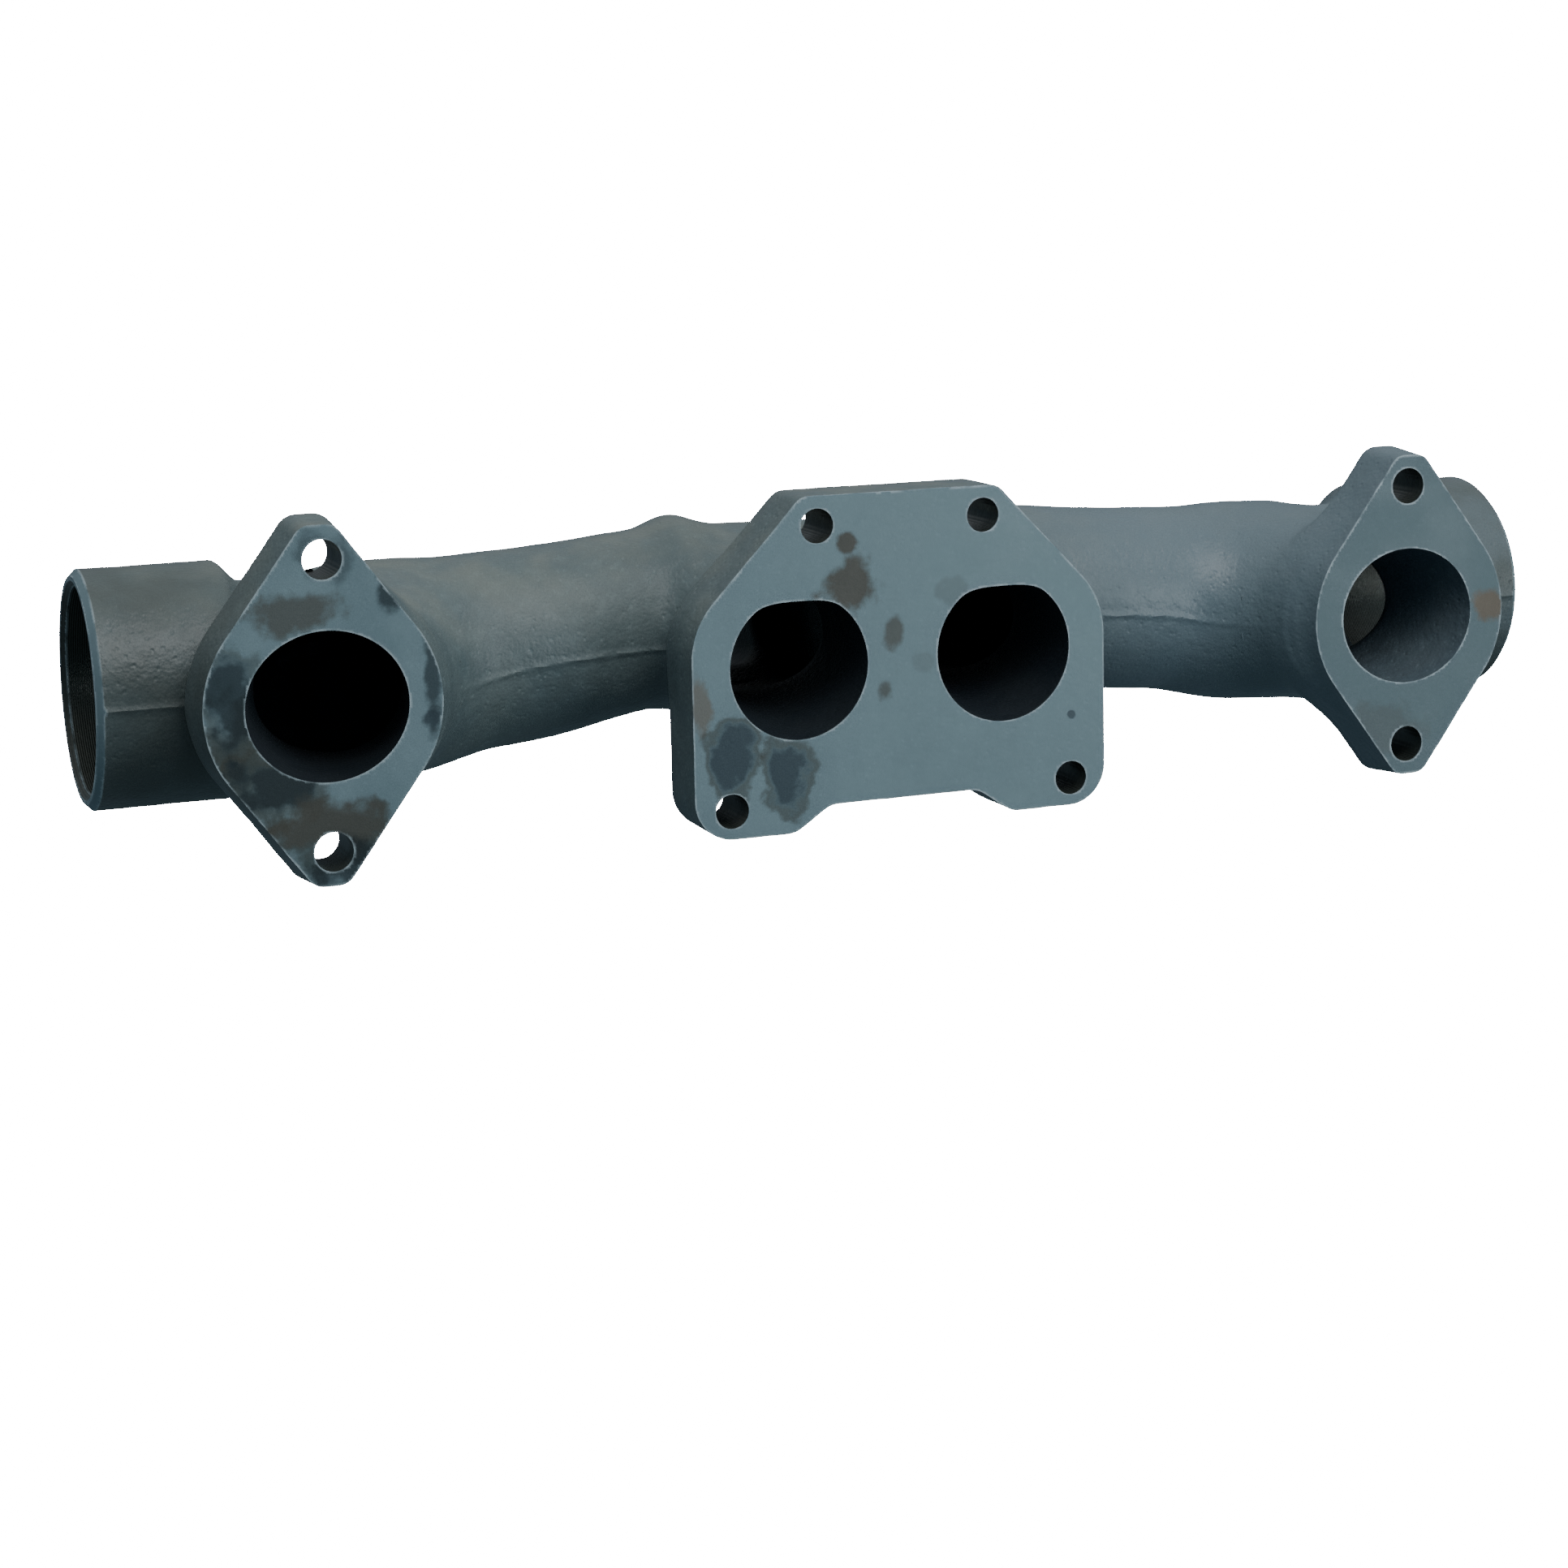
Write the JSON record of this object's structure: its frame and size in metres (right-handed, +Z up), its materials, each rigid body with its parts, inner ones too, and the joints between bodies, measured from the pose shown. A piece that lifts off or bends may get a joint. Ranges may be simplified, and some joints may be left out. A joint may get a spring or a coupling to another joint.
{
  "type": "exhaust manifold",
  "caption": "Cast centre section of an exhaust manifold: flanged cylinder ports in one plane, a divided collector to a turbocharger flange, and a slip-joint socket at each end.",
  "frame": {"origin": "centre of the middle flange's port face, half way between its two bolt rows", "axes": "+X along the manifold, +Y away from the cylinder head, +Z up; the port faces look along -Y"},
  "size_m": [0.4974, 0.116, 0.1124],
  "materials": {
    "cast_skin": "matt blue-grey heat coating over a rough sand-cast skin",
    "machined_face": "coated machined face, satin, with light brown stains",
    "machined_iron": "turned bare iron, satin"
  },
  "bodies": {
    "root": {"left_socket": "cast_skin", "left_branch_body": "cast_skin", "left_port_neck": "cast_skin", "left_port_flange": "machined_face", "left_runner": "cast_skin", "left_collector": "cast_skin", "left_centre_neck": "cast_skin", "centre_port_flange": "machined_face", "collector_divider": "cast_skin", "right_centre_neck": "cast_skin", "right_collector": "cast_skin", "right_runner": "cast_skin", "right_branch_body": "cast_skin", "right_port_neck": "cast_skin", "right_port_flange": "machined_face", "right_socket": "cast_skin", "turbo_neck": "cast_skin", "turbo_flange": "machined_iron"}
  },
  "joints": []
}
